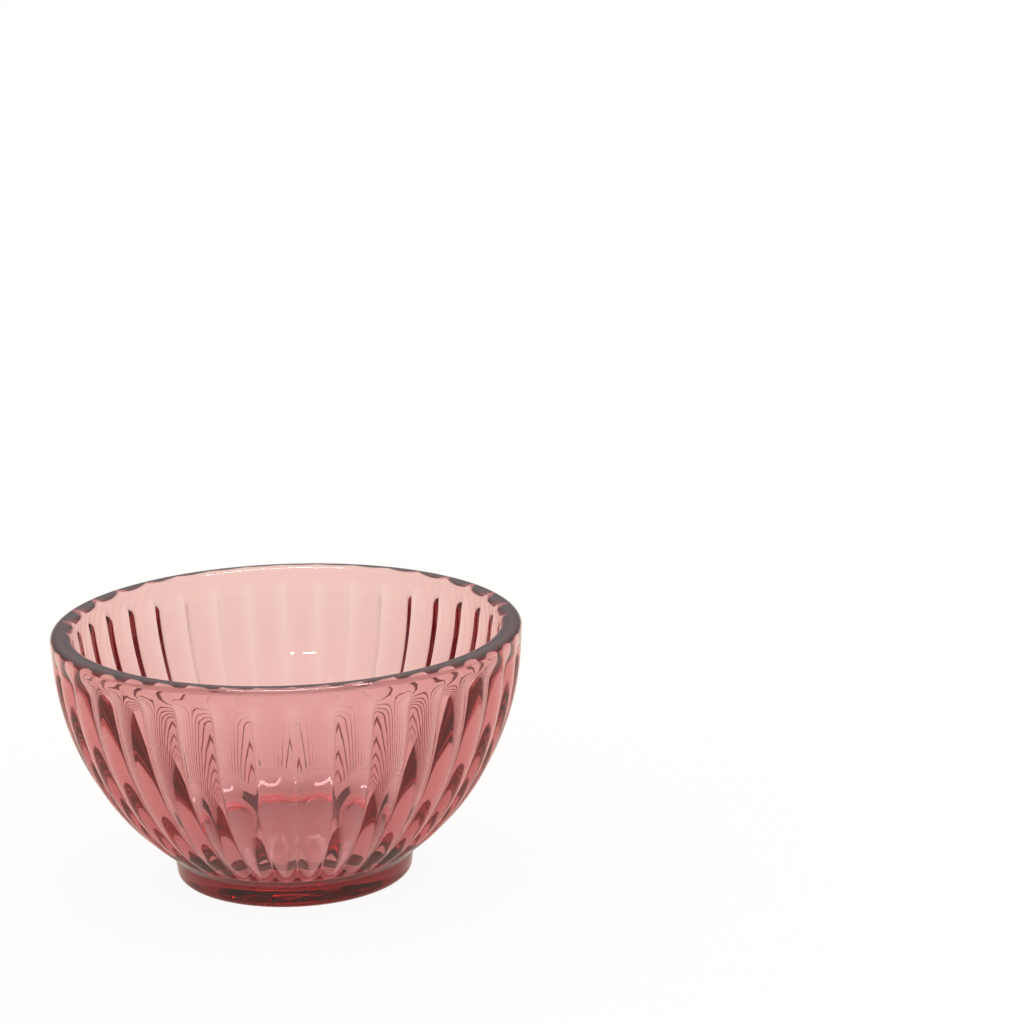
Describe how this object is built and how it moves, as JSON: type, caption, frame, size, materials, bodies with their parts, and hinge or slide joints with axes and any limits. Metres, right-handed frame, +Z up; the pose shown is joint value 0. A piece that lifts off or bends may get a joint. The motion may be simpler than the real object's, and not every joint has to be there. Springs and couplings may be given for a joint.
{
  "type": "ribbed glass trinket bowl",
  "caption": "Small round pressed-glass bowl in clear pink, with rounded upright ribs round its wall, a plain rounded rim and a low solid foot.",
  "frame": {"origin": "centre of the flat base of the foot, on the surface that the bowl stands on", "axes": "+Z up along the bowl's axis, towards the open mouth; the bowl is round, so X and Y only mark where the first valley between ribs lies"},
  "size_m": [0.108, 0.108, 0.0598],
  "materials": {
    "pink_glass": "clear fire-polished glass, tinted dusky rose pink all through"
  },
  "bodies": {
    "root": {"glass_bowl": "pink_glass"}
  },
  "joints": []
}
